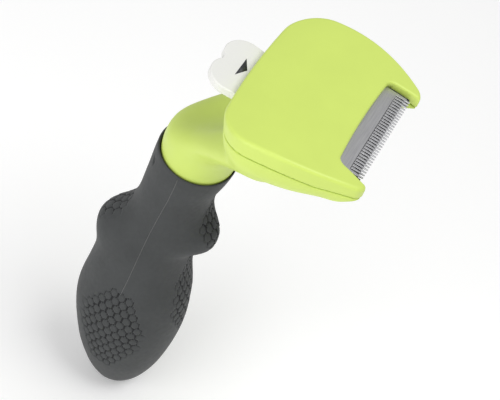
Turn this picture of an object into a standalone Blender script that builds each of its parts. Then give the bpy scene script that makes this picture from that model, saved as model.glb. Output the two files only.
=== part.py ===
"""A hand deshedding tool for pets: a comb blade in a two-part head, with a button that pushes the hair
off the blade, on a neck that runs down into a rubber-covered handle.

Metres, +Z up along the handle, +Y forward to the blade, X across the blade. The origin is the centre of
the small flat at the handle's end.
"""

import math

import bmesh
import bpy
from mathutils import Matrix, Vector

GAP = 0.0003

# Handle and neck
RIM_HEIGHT = 0.123
RIM_HALF_X = 0.0146
RIM_HALF_Y = 0.0131
RIM_TILT = math.radians(4.0)
RUBBER = 0.0025
CORE_BOTTOM = 0.006
CORE_TOP = 0.116
TANG_HALF_X = 0.0062
TANG_HALF_Y = 0.0058
TANG_BOTTOM = 0.062
RING_POINTS = 32

# The head is an arch: its top face is a cylinder whose axis runs along X.
ARCH_RADIUS = 0.0943
ARCH_Y = 0.0313
ARCH_Z = 0.0780
ARCH_BACK = math.radians(-14.85)
HEAD_LENGTH = 0.0508
HEAD_BACK_HALF = 0.0359
HEAD_FRONT_HALF = 0.0276
HEAD_WAIST = 0.0018
BACK_CORNER = 0.0098
HORN_CORNER = 0.0024
SEAM_DEPTH = 0.0060
HORN_SEAM_DEPTH = 0.0043
HEAD_DEPTH = 0.0162
HORN_DEPTH = 0.0082
BELLY_TURN = 0.0055
COVER_SKIN = 0.0020
WALL = 0.0022
EDGE_ROUND = 0.0011
CAVITY_LENGTH = 0.0366

# The notch that the blade stands in
NOTCH_HALF = 0.0227
NOTCH_Y = 0.0452
NOTCH_CORNER = 0.0024

# The slide: everything the button moves travels along its +Y
SLIDE_TILT = math.radians(-5.5)
SLIDE_ORIGIN = Vector((0, 0.008, 0.1633))

# Along the slide (a) and square to it (b), both from the slide's origin
BLADE_TOP = 0.0091
BLADE_THICK = 0.0009
BLADE_BACK = 0.0280
BLADE_FRONT = 0.0463
BLADE_HALF = 0.02225
TOOTH_COUNT = 31
TOOTH_LENGTH = 0.0046
BAR_FRONT = 0.0446
BAR_DEPTH = 0.0054
BAR_THICK = 0.0020
BUTTON_HALF = 0.0130
BUTTON_FRONT_HALF = 0.0119
BUTTON_LOBE = 0.0076
BUTTON_BACK = -0.0142
BUTTON_FRONT = 0.0036
BUTTON_THICK = 0.0030
SLOT_BACK = -0.0100
SLOT_FRONT = 0.0200
PASSAGE_BACK = 0.0250
PASSAGE_FLOOR_BACK = 0.0352
PASSAGE_FRONT = 0.0560
TONGUE_BACK = -0.0018
TONGUE_THICK = 0.0012
CARRIAGE_HALF = 0.0078
CARRIAGE_LOW = 0.0014
CARRIAGE_THICK = 0.0020
CARRIAGE_BACK = 0.0130
CARRIAGE_FRONT = 0.0240
RISER = 0.0035
NOSE_LOW = 0.0057
NOSE_TOP = 0.0075
EAR_HALF = 0.0028
SPRING_X = 0.0165
SPRING_B = 0.0046
SPRING_BACK = 0.0158
SPRING_LENGTH = 0.0120
SPRING_RADIUS = 0.0018
SPRING_WIRE = 0.00045
SPRING_TURNS = 8
GUIDE_RADIUS = 0.0009
POST_FOOT = -0.0029

BLADE_SCREW = (0.0165, 0.0310)
COVER_SCREWS = (("rear", 0.0270, 0.0170), ("front", 0.0255, 0.0305))
SCREW_SINK = 0.0040
CORE_SCREW_HEIGHTS = (0.024, 0.076, 0.102)


def clear_scene():
    for obj in list(bpy.data.objects):
        bpy.data.objects.remove(obj)


def material(name, color, roughness, metallic=0.0):
    made = bpy.data.materials.new(name)
    made.use_nodes = True
    shader = made.node_tree.nodes["Principled BSDF"]
    shader.inputs["Base Color"].default_value = (*color, 1)
    shader.inputs["Roughness"].default_value = roughness
    shader.inputs["Metallic"].default_value = metallic
    return made


def add_object(name, mesh_data, finish=None):
    obj = bpy.data.objects.new(name, mesh_data)
    bpy.context.scene.collection.objects.link(obj)
    if finish:
        mesh_data.materials.append(finish)
    return obj


def finished(name, work, finish=None, smooth_below=35):
    """Turns a bmesh into an object whose faces point out, rounded where neighbours nearly line up."""
    bmesh.ops.recalc_face_normals(work, faces=work.faces)
    mesh = bpy.data.meshes.new(name)
    work.to_mesh(mesh)
    work.free()
    mesh.shade_smooth()
    mesh.set_sharp_from_angle(angle=math.radians(smooth_below))
    return add_object(name, mesh, finish)


def as_cutter(obj):
    obj.hide_render = True
    obj.display_type = "WIRE"
    return obj


def boolean(obj, operation, *others, solver="EXACT"):
    for other in others:
        modifier = obj.modifiers.new(f"{operation.lower()}_{other.name}", "BOOLEAN")
        modifier.operation = operation
        modifier.solver = solver
        modifier.object = as_cutter(other)


def loft(name, rings, finish=None, smooth_below=35):
    """A closed body through rings that all have the same number of points."""
    work = bmesh.new()
    rows = [[work.verts.new(point) for point in ring] for ring in rings]
    count = len(rows[0])
    for low, high in zip(rows, rows[1:]):
        for i in range(count):
            j = (i + 1) % count
            work.faces.new((low[i], low[j], high[j], high[i]))
    for end in (rows[0], rows[-1]):
        center = sum((vert.co for vert in end), Vector()) / count
        middle = work.verts.new(center)
        for i in range(count):
            work.faces.new((end[i], end[(i + 1) % count], middle))
    return finished(name, work, finish, smooth_below)


def box(name, low, high, frame=Matrix(), finish=None):
    work = bmesh.new()
    bmesh.ops.create_cube(work, size=1)
    size = Vector(high) - Vector(low)
    place = Matrix.Translation((Vector(high) + Vector(low)) / 2) @ Matrix.Diagonal((*size, 1))
    bmesh.ops.transform(work, matrix=frame @ place, verts=work.verts)
    return finished(name, work, finish)


def turned(name, profile, start, direction, finish=None, segments=16):
    """A body turned from (radius, distance) pairs about a line from start along direction."""
    work = bmesh.new()
    frame = Vector(direction).to_track_quat("Z", "Y").to_matrix().to_4x4()
    frame.translation = start
    rows = []
    for radius, along in profile:
        ring = []
        for i in range(segments):
            angle = 2 * math.pi * i / segments
            point = Vector((radius * math.cos(angle), radius * math.sin(angle), along))
            ring.append(work.verts.new(frame @ point))
        rows.append(ring)
    for low, high in zip(rows, rows[1:]):
        for i in range(segments):
            j = (i + 1) % segments
            work.faces.new((low[i], low[j], high[j], high[i]))
    work.faces.new(rows[0])
    work.faces.new(rows[-1])
    return finished(name, work, finish)


def prism(name, outline, low, high, frame=Matrix(), finish=None, smooth_below=35):
    """An outline in the frame's XY plane, raised from low to high along its Z."""
    work = bmesh.new()
    bottom = [work.verts.new(frame @ Vector((x, y, low))) for x, y in outline]
    top = [work.verts.new(frame @ Vector((x, y, high))) for x, y in outline]
    work.faces.new(bottom)
    work.faces.new(top)
    count = len(outline)
    for i in range(count):
        j = (i + 1) % count
        work.faces.new((bottom[i], bottom[j], top[j], top[i]))
    return finished(name, work, finish, smooth_below)


def between(stations, at):
    """A smooth curve through (position, value) stations that never overshoots its ends."""
    if at <= stations[0][0]:
        return stations[0][1]
    if at >= stations[-1][0]:
        return stations[-1][1]
    last = len(stations) - 1
    i = next(i for i in range(last) if stations[i][0] <= at <= stations[i + 1][0])

    def slope(k):
        before = stations[max(k - 1, 0)]
        after = stations[min(k + 1, last)]
        return (after[1] - before[1]) / (after[0] - before[0])

    (p0, v0), (p1, v1) = stations[i], stations[i + 1]
    span = p1 - p0
    t = (at - p0) / span
    m0 = slope(i) * span
    m1 = slope(i + 1) * span
    return (
        (2 * t**3 - 3 * t**2 + 1) * v0
        + (t**3 - 2 * t**2 + t) * m0
        + (-2 * t**3 + 3 * t**2) * v1
        + (t**3 - t**2) * m1
    )


def ramp(at, start, end):
    t = min(max((at - start) / (end - start), 0.0), 1.0)
    return t * t * (3 - 2 * t)


# --- handle shape ---------------------------------------------------------------------------------

GRIP_FRONT = (
    (0.000, 0.0044), (0.003, 0.0080), (0.010, 0.0121), (0.022, 0.0157), (0.040, 0.0176),
    (0.056, 0.0160), (0.070, 0.0120), (0.090, 0.0104), (0.108, 0.0107), (0.118, 0.0130), (0.123, 0.0139),
)
GRIP_BACK = (
    (0.000, 0.0044), (0.003, 0.0078), (0.010, 0.0128), (0.022, 0.0187), (0.040, 0.0238),
    (0.056, 0.0226), (0.070, 0.0180), (0.090, 0.0152), (0.108, 0.0147), (0.118, 0.0146), (0.123, 0.0144),
)
GRIP_SIDE = (
    (0.000, 0.0042), (0.003, 0.0072), (0.010, 0.0116), (0.022, 0.0163), (0.040, 0.0188),
    (0.056, 0.0180), (0.070, 0.0156), (0.090, 0.0138), (0.108, 0.0142), (0.118, 0.0153), (0.123, 0.0156),
)
GRIP_HEIGHTS = (
    0.000, 0.0012, 0.003, 0.0062, 0.010, 0.0155, 0.022, 0.030, 0.038, 0.046, 0.054, 0.061, 0.067,
    0.072, 0.077, 0.082, 0.087, 0.092, 0.097, 0.102, 0.108, 0.113, 0.118, 0.123,
)


def finger_bump(height, angle):
    """The two swellings that the forefinger and the thumb's root rest on. Angle 0 faces forward."""
    front = 0.0072 * math.exp(-(((height - 0.0905) / 0.0082) ** 2))
    back = 0.0085 * math.exp(-(((height - 0.0770) / (0.0105 if height > 0.077 else 0.0125)) ** 2))
    ahead = math.exp(-((angle / 0.72) ** 2))
    behind = math.exp(-(((math.pi - abs(angle)) / 0.80) ** 2))
    return front * ahead + back * behind


def grip_point(height, angle, inset=0.0):
    """A point of the handle's skin; angle turns from forward (+Y) towards +X."""
    side = between(GRIP_SIDE, height)
    deep = between(GRIP_FRONT if math.cos(angle) >= 0 else GRIP_BACK, height)
    across = math.sin(angle)
    along = math.cos(angle)
    radius = 1 / math.sqrt((across / side) ** 2 + (along / deep) ** 2)
    radius += finger_bump(height, angle) - inset
    x = radius * across
    y = radius * along
    lean = -math.tan(RIM_TILT) * y * ramp(height, 0.095, RIM_HEIGHT)
    return Vector((x, y, height + lean))


def turn_angles(count):
    return [math.pi - 2 * math.pi * i / count for i in range(count)]


def grip_rings(inset, bottom, top, count=RING_POINTS):
    heights = [h for h in GRIP_HEIGHTS if bottom < h < top]
    heights = [bottom, *heights, top]
    return [[grip_point(h, a, inset) for a in turn_angles(count)] for h in heights]


# --- head shape -----------------------------------------------------------------------------------


def head_point(x, along, depth):
    """The point that lies depth below the head's top face, along it from the back edge."""
    angle = ARCH_BACK + along / ARCH_RADIUS
    radius = ARCH_RADIUS - depth
    return Vector((x, ARCH_Y + radius * math.sin(angle), ARCH_Z + radius * math.cos(angle)))


def head_half_width(along):
    share = along / HEAD_LENGTH
    half = HEAD_BACK_HALF + HEAD_WAIST * math.sin(math.pi * min(share, 1.0))
    half += (HEAD_FRONT_HALF - HEAD_BACK_HALF) * share**2.7
    if along < BACK_CORNER:
        rest = BACK_CORNER - along
        half -= BACK_CORNER - math.sqrt(BACK_CORNER**2 - rest**2)
    left = HEAD_LENGTH - along
    if left < HORN_CORNER:
        rest = HORN_CORNER - left
        half -= HORN_CORNER - math.sqrt(max(HORN_CORNER**2 - rest**2, 0))
    return half


def seam_depth(along):
    return SEAM_DEPTH + (HORN_SEAM_DEPTH - SEAM_DEPTH) * ramp(along, 0.036, HEAD_LENGTH)


def head_depth(along):
    return HEAD_DEPTH + (HORN_DEPTH - HEAD_DEPTH) * (along / HEAD_LENGTH) ** 7


def head_stations(start, end):
    """Distances along the head, close together where its corners turn."""
    corner = [BACK_CORNER * (1 - math.cos(math.radians(15 * i))) for i in range(1, 6)]
    middle = [BACK_CORNER + 0.0052 * i for i in range(1, 8)]
    horn = [HEAD_LENGTH - HORN_CORNER * (1 - math.cos(math.radians(22.5 * i))) for i in range(1, 4)]
    inside = [s for s in (*corner, BACK_CORNER, *middle, *sorted(horn)) if start < s < end]
    return [start, *inside, end]


def arc_steps(corner_x, corner_h, radius_x, radius_h, start, end, steps):
    """Points of an elliptical quarter round in a head section."""
    found = []
    for i in range(steps + 1):
        angle = math.radians(start + (end - start) * i / steps)
        found.append((corner_x + radius_x * math.cos(angle), corner_h - radius_h * math.sin(angle)))
    return found


def section_ring(right_half, along):
    left_half = [(-x, h) for x, h in reversed(right_half)]
    return [head_point(x, along, h) for x, h in (*right_half, *left_half)]


def cover_section(along):
    half = head_half_width(along)
    top = arc_steps(half - EDGE_ROUND, EDGE_ROUND, EDGE_ROUND, EDGE_ROUND, 90, 0, 3)
    return section_ring([*top, (half, seam_depth(along) - GAP / 2)], along)


def belly_points(half, seam, deep, inset=0.0):
    """The rounded lower half of a head section, from its side wall down to its flat underside."""
    turn_x = min(BELLY_TURN, half * 0.35)
    turn_h = (deep - seam) * 0.82
    center = (half - turn_x, deep - turn_h)
    return arc_steps(*center, turn_x - inset, turn_h - inset, 0, -90, 4)


def base_section(along):
    half = head_half_width(along)
    seam = seam_depth(along) + GAP / 2
    return section_ring([(half, seam), *belly_points(half, seam, head_depth(along))], along)


def hollow_half_width(along):
    """Half the width inside the walls, squared off past the rounded back corners."""
    if along < BACK_CORNER:
        return head_half_width(BACK_CORNER) - WALL - (BACK_CORNER - along) * 0.8
    return head_half_width(along) - WALL


def cover_hollow_section(along):
    half = hollow_half_width(along)
    return section_ring([(half, COVER_SKIN), (half, 0.0110)], along)


def base_hollow_section(along):
    half = hollow_half_width(along)
    seam = seam_depth(along) + GAP / 2
    belly = belly_points(half + WALL, seam, head_depth(along), WALL)
    return section_ring([(half, -0.002), (half, seam), *belly[1:]], along)


def hollow(name, section):
    return loft(name, [section(s) for s in head_stations(WALL, CAVITY_LENGTH)])


def notch_outline(half, back):
    """The notch as seen from above, open towards +Y."""
    front = 0.075
    points = [(half, front)]
    for i in range(5):
        angle = math.radians(-22.5 * i)
        x = half - NOTCH_CORNER + NOTCH_CORNER * math.cos(angle)
        y = back + NOTCH_CORNER + NOTCH_CORNER * math.sin(angle)
        points.append((x, y))
    return [*points, *[(-x, y) for x, y in reversed(points)]]


# --- neck -----------------------------------------------------------------------------------------

# Height, half width, back (negative Y), front
NECK = (
    (0.1206, 0.0144, -0.0129, 0.0129),
    (0.1230, 0.0146, -0.0131, 0.0131),
    (0.1270, 0.0148, -0.0132, 0.0130),
    (0.1320, 0.0160, -0.0124, 0.0131),
    (0.1362, 0.0180, -0.0094, 0.0142),
    (0.1400, 0.0207, -0.0053, 0.0166),
    (0.1442, 0.0245, -0.0009, 0.0204),
    (0.1484, 0.0285, 0.0034, 0.0250),
    (0.1520, 0.0316, 0.0069, 0.0295),
    (0.1560, 0.0332, 0.0104, 0.0335),
)
# The hollow in the neck's back, below the button
DIMPLE = 0.0090
DIMPLE_HALF = 0.0098


def neck_ring(height, half, back, front, count=RING_POINTS):
    """One level section of the neck: nearly an ellipse at the rim, squarer and hollowed towards the head."""
    share = ramp(height, RIM_HEIGHT, NECK[-1][0])
    power = 2 / (2 + 1.2 * share)
    middle = (back + front) / 2
    deep = (front - back) / 2
    dimple = DIMPLE * ramp(height, 0.130, 0.148)
    ring = []
    for angle in turn_angles(count):
        across = math.sin(angle)
        along = math.cos(angle)
        x = half * math.copysign(abs(across) ** power, across)
        y = middle + deep * math.copysign(abs(along) ** power, along)
        if along < 0:
            y += dimple * math.exp(-((x / DIMPLE_HALF) ** 2)) * abs(along)
        lean = -math.tan(RIM_TILT) * y * (1 - ramp(height, RIM_HEIGHT, 0.130))
        ring.append(Vector((x, y, height + lean)))
    return ring


# --- pieces ---------------------------------------------------------------------------------------


def slide_frame():
    return Matrix.Translation(SLIDE_ORIGIN) @ Matrix.Rotation(SLIDE_TILT, 4, "X")


def on_slide(x, along, up):
    return slide_frame() @ Vector((x, along, up))


def notch_cutter(name):
    return prism(name, notch_outline(NOTCH_HALF, NOTCH_Y), 0.130, 0.190)


def button_slot(name):
    """The opening in the head's back wall, and the bay in front of it that the button pushes into."""
    half = BUTTON_HALF + 0.0005
    up = BUTTON_THICK / 2 + 0.0004
    return box(name, (-half, SLOT_BACK, -up), (half, SLOT_FRONT, up), slide_frame())


def passage_box(name, back, top):
    """Room in the front wall for the blade and for the bar under it."""
    low = BLADE_TOP - BLADE_THICK - GAP - BAR_THICK - 2 * GAP
    return box(name, (-NOTCH_HALF, back, low), (NOTCH_HALF, PASSAGE_FRONT, top), slide_frame())


def screw(name, start, direction, length, radius, head_radius, head_height, finish, sink=False):
    """A screw whose head's outer face is at start and whose shank runs along direction."""
    profile = [(head_radius, 0), (radius if sink else head_radius, head_height)]
    if not sink:
        profile.append((radius, head_height))
    profile += [(radius, length - radius), (radius * 0.35, length)]
    made = turned(name, profile, start, direction, finish, 12)
    recess = turned(
        f"{name}_recess",
        [(head_radius * 0.45, -0.001), (head_radius * 0.45, head_height * 0.55)],
        start,
        direction,
        segments=6,
    )
    boolean(made, "DIFFERENCE", recess)
    return made


def cover_screw_line(x, along):
    """The bottom point and the upward direction of a cover screw, square to the head's top face."""
    low = head_point(x, along, head_depth(along) - SCREW_SINK)
    high = head_point(x, along, 0.0)
    return low, (high - low).normalized()


def make_cover(green, steel):
    stations = head_stations(0.0, HEAD_LENGTH)
    cover = loft("head_cover", [cover_section(s) for s in stations], green)
    boolean(cover, "DIFFERENCE", hollow("cover_hollow", cover_hollow_section))
    for row, across, along in COVER_SCREWS:
        for side, sign in (("left", -1), ("right", 1)):
            start, up = cover_screw_line(sign * across, along)
            top = (head_point(sign * across, along, COVER_SKIN - 0.0006) - start).length
            low = (head_point(sign * across, along, SEAM_DEPTH - GAP) - start).length
            boss = turned(f"cover_boss_{row}_{side}", [(0.0029, low), (0.0029, top)], start, up)
            boolean(cover, "UNION", boss)
            hole = turned(f"cover_hole_{row}_{side}", [(0.0014, -0.002), (0.0014, top - 0.0010)], start, up)
            boolean(cover, "DIFFERENCE", hole)
            length = top - 0.0018
            screw(f"cover_screw_{row}_{side}", start, up, length, 0.0011, 0.0021, 0.0014, steel)
    boolean(cover, "DIFFERENCE", notch_cutter("cover_notch"))
    boolean(cover, "DIFFERENCE", passage_box("cover_passage", PASSAGE_BACK, BLADE_TOP + GAP))
    boolean(cover, "DIFFERENCE", button_slot("cover_slot"))
    return cover


def make_base(green):
    stations = head_stations(0.0, HEAD_LENGTH)
    base = loft("head_base", [base_section(s) for s in stations], green)

    def shape(operation, *others):
        # The exact solver leaves open edges on this many-sided body; the manifold one closes it.
        boolean(base, operation, *others, solver="MANIFOLD")

    neck = loft("neck_shape", [neck_ring(*level) for level in NECK])
    tang_half = (TANG_HALF_X, TANG_HALF_Y)
    tang = box("tang_shape", (-tang_half[0], -tang_half[1], TANG_BOTTOM), (*tang_half, 0.126))
    shape("UNION", neck, tang)
    shape("DIFFERENCE", hollow("base_hollow", base_hollow_section))
    shape("DIFFERENCE", button_slot("base_slot"))
    for row, across, along in COVER_SCREWS:
        for side, sign in (("left", -1), ("right", 1)):
            start, up = cover_screw_line(sign * across, along)
            top = (head_point(sign * across, along, SEAM_DEPTH + GAP) - start).length
            boss = turned(f"base_boss_{row}_{side}", [(0.0034, 0.0008 - SCREW_SINK), (0.0034, top)], start, up)
            shape("UNION", boss)
            sunk = 0.0014 + GAP
            bore = [(0.0024, -0.012), (0.0024, sunk), (0.0014, sunk), (0.0014, top + 0.001)]
            shape("DIFFERENCE", turned(f"base_bore_{row}_{side}", bore, start, up))
    for side, sign in (("left", -1), ("right", 1)):
        across, along = sign * BLADE_SCREW[0], BLADE_SCREW[1]
        seat = BLADE_TOP - BLADE_THICK - GAP
        up = on_slide(0, 0, 1) - on_slide(0, 0, 0)
        foot = on_slide(across, along, POST_FOOT)
        post = turned(f"blade_post_{side}", [(0.0025, 0), (0.0025, seat - POST_FOOT)], foot, up)
        shape("UNION", post)
        hole = [(0.0012, seat - 0.0062), (0.0012, seat + 0.001)]
        shape("DIFFERENCE", turned(f"blade_post_hole_{side}", hole, foot - up * POST_FOOT, up))
        stop = SPRING_BACK + SPRING_LENGTH
        wall = box(
            f"spring_wall_{side}",
            (sign * SPRING_X - EAR_HALF, stop + GAP, POST_FOOT),
            (sign * SPRING_X + EAR_HALF, stop + 0.0022, SPRING_B + 0.0022),
            slide_frame(),
        )
        shape("UNION", wall)
        forward = on_slide(0, 1, 0) - on_slide(0, 0, 0)
        socket = turned(
            f"guide_socket_{side}",
            [(GUIDE_RADIUS + GAP, -0.001), (GUIDE_RADIUS + GAP, 0.0017)],
            on_slide(sign * SPRING_X, stop, SPRING_B),
            forward,
        )
        shape("DIFFERENCE", socket)
    shape("DIFFERENCE", notch_cutter("base_notch"))
    # In front of the blade posts only, and past the base's top edge.
    shape("DIFFERENCE", passage_box("base_passage", PASSAGE_FLOOR_BACK, 0.014))
    for height in CORE_SCREW_HEIGHTS[1:]:
        hole = [(0.0019, -0.02), (0.0019, 0.02)]
        shape("DIFFERENCE", turned(f"tang_hole_{height * 1000:.0f}", hole, (0, 0, height), (1, 0, 0)))
    return base


def blade_outline():
    """The comb plate from above, in the slide's own plane: a plain back and a row of pointed teeth."""
    pitch = 2 * BLADE_HALF / TOOTH_COUNT
    root = BLADE_FRONT - TOOTH_LENGTH
    points = [(-BLADE_HALF, BLADE_BACK), (BLADE_HALF, BLADE_BACK)]
    for i in range(TOOTH_COUNT):
        right = BLADE_HALF - pitch * i
        if i:
            points.append((right - pitch * 0.18, root))
        else:
            points.append((right, root))
        points.append((right - pitch * 0.34, BLADE_FRONT))
        points.append((right - pitch * 0.66, BLADE_FRONT))
        if i < TOOTH_COUNT - 1:
            points.append((right - pitch * 0.82, root))
        else:
            points.append((right - pitch, root))
    return points


def make_blade(steel, screw_steel):
    low = BLADE_TOP - BLADE_THICK
    blade = prism("blade", blade_outline(), low, BLADE_TOP, slide_frame(), steel)
    down = on_slide(0, 0, 0) - on_slide(0, 0, 1)
    for side, sign in (("left", -1), ("right", 1)):
        top = on_slide(sign * BLADE_SCREW[0], BLADE_SCREW[1], BLADE_TOP)
        sink = [(0.0026, -0.0003), (0.0013 + GAP, BLADE_THICK * 0.85), (0.0013 + GAP, 0.003)]
        boolean(blade, "DIFFERENCE", turned(f"blade_hole_{side}", sink, top, down))
        name = f"blade_screw_{side}"
        screw(name, top - down * -0.00005, down, 0.0058, 0.0009, 0.0018, 0.0007, screw_steel, sink=True)
    return blade


def button_outline():
    """A broad tab whose back end is two round lobes with a shallow notch between them."""
    lobe = BUTTON_LOBE
    center_x = BUTTON_HALF - lobe
    center_y = BUTTON_BACK + lobe
    right = [(BUTTON_FRONT_HALF, BUTTON_FRONT), (BUTTON_HALF, center_y)]
    meet = math.degrees(math.acos(center_x / lobe))
    steps = 9
    for i in range(1, steps + 1):
        angle = math.radians(-(180 - meet - 6) * i / steps)
        right.append((center_x + lobe * math.cos(angle), center_y + lobe * math.sin(angle)))
    return [*right, *[(-x, y) for x, y in reversed(right)]]


def make_ejector(white, dark, steel, spring_steel):
    frame = slide_frame()
    half_thick = BUTTON_THICK / 2
    button = prism("ejector_button", button_outline(), -half_thick, half_thick, frame, white)
    tongue_up = TONGUE_THICK / 2
    slot_half = CARRIAGE_HALF + GAP + 0.0002
    slot_low = (-slot_half, TONGUE_BACK - GAP - 0.0001, -tongue_up - GAP)
    slot_high = (slot_half, BUTTON_FRONT + 0.0024, tongue_up + GAP)
    boolean(button, "DIFFERENCE", box("tongue_slot", slot_low, slot_high, frame))

    neck = BUTTON_FRONT + GAP
    top = CARRIAGE_LOW + CARRIAGE_THICK
    nose = BAR_FRONT - BAR_DEPTH
    lower_side = [
        (TONGUE_BACK, -tongue_up), (neck, -tongue_up), (CARRIAGE_BACK, CARRIAGE_LOW),
        (CARRIAGE_FRONT, CARRIAGE_LOW), (CARRIAGE_FRONT + RISER, NOSE_LOW), (nose, NOSE_LOW),
    ]
    upper_side = [
        (nose, NOSE_TOP), (CARRIAGE_FRONT + RISER * 0.75, NOSE_TOP), (CARRIAGE_FRONT - 0.0010, top),
        (CARRIAGE_BACK - 0.0012, top), (neck, tongue_up), (TONGUE_BACK, tongue_up),
    ]
    side_profile = [*lower_side, *upper_side]
    # The profile lies in the slide's YZ plane, so the prism's own Z is the slide's X.
    turn = Matrix(((0, 0, 1, 0), (1, 0, 0, 0), (0, 1, 0, 0), (0, 0, 0, 1)))
    carriage = prism("ejector_carriage", side_profile, -CARRIAGE_HALF, CARRIAGE_HALF, frame @ turn, white)
    ears = box(
        "carriage_ears",
        (-SPRING_X - EAR_HALF, SPRING_BACK - 0.0022, CARRIAGE_LOW + 0.0001),
        (SPRING_X + EAR_HALF, SPRING_BACK - GAP, SPRING_B + 0.0024),
        frame,
    )
    boolean(carriage, "UNION", ears)
    forward = on_slide(0, 1, 0) - on_slide(0, 0, 0)
    for side, sign in (("left", -1), ("right", 1)):
        hole = turned(
            f"ear_hole_{side}",
            [(GUIDE_RADIUS + GAP, -0.005), (GUIDE_RADIUS + GAP, 0.004)],
            on_slide(sign * SPRING_X, SPRING_BACK, SPRING_B),
            forward,
        )
        boolean(carriage, "DIFFERENCE", hole)

    bar_top = BLADE_TOP - BLADE_THICK - GAP
    bar = box(
        "ejector_bar",
        (-BLADE_HALF + 0.0004, BAR_FRONT - BAR_DEPTH + 0.0003, bar_top - BAR_THICK),
        (BLADE_HALF - 0.0004, BAR_FRONT, bar_top),
        frame,
        dark,
    )
    bevel = bar.modifiers.new("edges", "BEVEL")
    bevel.width = 0.0003
    bevel.segments = 2

    for side, sign in (("left", -1), ("right", 1)):
        guide = [(GUIDE_RADIUS, -0.0070), (GUIDE_RADIUS, SPRING_LENGTH + 0.0014)]
        start = on_slide(sign * SPRING_X, SPRING_BACK, SPRING_B)
        turned(f"spring_guide_{side}", guide, start, forward, steel, 12)
        make_spring(f"return_spring_{side}", start, spring_steel)
    return button, carriage, bar


def make_spring(name, start, finish, wire_sides=5, steps_per_turn=10):
    """A compression spring along the slide: a swept wire, with its ends capped."""
    frame = slide_frame().to_3x3().to_4x4()
    frame.translation = start
    total = SPRING_TURNS * steps_per_turn
    free = SPRING_LENGTH - 2 * SPRING_WIRE
    rings = []
    for i in range(total + 1):
        angle = 2 * math.pi * i / steps_per_turn
        out = Vector((math.cos(angle), 0, math.sin(angle)))
        center = out * SPRING_RADIUS + Vector((0, SPRING_WIRE + free * i / total, 0))
        ring = []
        for k in range(wire_sides):
            round_wire = 2 * math.pi * k / wire_sides
            offset = out * math.cos(round_wire) + Vector((0, 1, 0)) * math.sin(round_wire)
            ring.append(frame @ (center + offset * SPRING_WIRE * 0.5))
        rings.append(ring)
    return loft(name, rings, finish, 60)


def make_handle(rubber, dark, steel):
    # The rubber sleeve ends a little above the core, so its hollow stays open at the collar.
    sleeve = loft("grip_sleeve", grip_rings(0.0, 0.0, RIM_HEIGHT), rubber, 50)
    hollow = loft("sleeve_hollow", grip_rings(RUBBER, CORE_BOTTOM - GAP, RIM_HEIGHT + 0.002))
    boolean(sleeve, "DIFFERENCE", hollow)
    collar = loft("collar_hollow", collar_rings(), None)
    boolean(sleeve, "DIFFERENCE", collar, solver="MANIFOLD")

    for side, sign in (("left", -1), ("right", 1)):
        half = loft(f"handle_core_{side}", grip_rings(RUBBER + GAP, CORE_BOTTOM, CORE_TOP, 24), dark, 50)
        edge = sign * GAP / 2
        low = (edge, -0.05, -0.01) if sign < 0 else (-0.05, -0.05, -0.01)
        high = (0.05, 0.05, 0.14) if sign < 0 else (edge, 0.05, 0.14)
        boolean(half, "DIFFERENCE", box(f"core_split_{side}", low, high))
        pocket = box(
            f"tang_pocket_{side}",
            (-TANG_HALF_X - GAP, -TANG_HALF_Y - GAP, TANG_BOTTOM - GAP),
            (TANG_HALF_X + GAP, TANG_HALF_Y + GAP, 0.14),
        )
        boolean(half, "DIFFERENCE", pocket)
        for height in CORE_SCREW_HEIGHTS:
            reach = between(GRIP_SIDE, height) - RUBBER - GAP
            bore = [(0.0031, -0.004), (0.0031, 0.0030), (0.0018, 0.0030), (0.0018, 2 * reach - 0.0030)]
            name = f"core_bore_{side}_{height * 1000:.0f}"
            boolean(half, "DIFFERENCE", turned(name, bore, (reach, 0, height), (-1, 0, 0)))
    for number, height in enumerate(CORE_SCREW_HEIGHTS, start=1):
        reach = between(GRIP_SIDE, height) - RUBBER - GAP
        start = (reach - 0.0008, 0, height)
        screw(f"core_screw_{number}", start, (-1, 0, 0), 2 * reach - 0.0055, 0.0014, 0.0027, 0.0019, steel)


def collar_rings():
    """The mouth of the rubber sleeve, just wider than the neck."""
    rings = []
    for height in (0.1203, 0.1230, 0.1270):
        ring = []
        for angle in turn_angles(RING_POINTS):
            x = (RIM_HALF_X + GAP) * math.sin(angle)
            y = (RIM_HALF_Y + GAP) * math.cos(angle)
            ring.append(Vector((x, y, height - math.tan(RIM_TILT) * y)))
        rings.append(ring)
    return rings


def main():
    clear_scene()
    green = material("green_plastic", (0.62, 0.79, 0.17), 0.42)
    white = material("white_plastic", (0.80, 0.80, 0.77), 0.38)
    dark = material("core_plastic", (0.08, 0.08, 0.085), 0.5)
    rubber = material("grip_rubber", (0.095, 0.098, 0.100), 0.72)
    blade_steel = material("blade_steel", (0.45, 0.45, 0.46), 0.32, 1.0)
    screw_steel = material("screw_steel", (0.40, 0.40, 0.42), 0.35, 1.0)
    spring_steel = material("spring_steel", (0.50, 0.50, 0.51), 0.30, 1.0)
    make_cover(green, screw_steel)
    make_base(green)
    make_blade(blade_steel, screw_steel)
    ejector = make_ejector(white, dark, screw_steel, spring_steel)
    make_handle(rubber, dark, screw_steel)

    carrier = bpy.data.objects.new("ejector_axis", None)
    carrier.matrix_world = slide_frame()
    bpy.context.scene.collection.objects.link(carrier)
    bpy.context.view_layer.update()
    for piece in ejector:
        piece.parent = carrier
        piece.matrix_parent_inverse = carrier.matrix_world.inverted()


main()
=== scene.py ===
"""The looks of a hand deshedding tool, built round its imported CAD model.

The plastic shells and the neck are meshed from distance fields, so that their edges are round and the
neck runs smoothly into the head. The rubber grip is a fine net of rings with its hexagon cells pressed in.
Metres, +Z up along the handle, +Y forward to the blade, X across the blade.
"""

import math

import bmesh
import bpy
import numpy as np
from mathutils import Matrix, Vector


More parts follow.
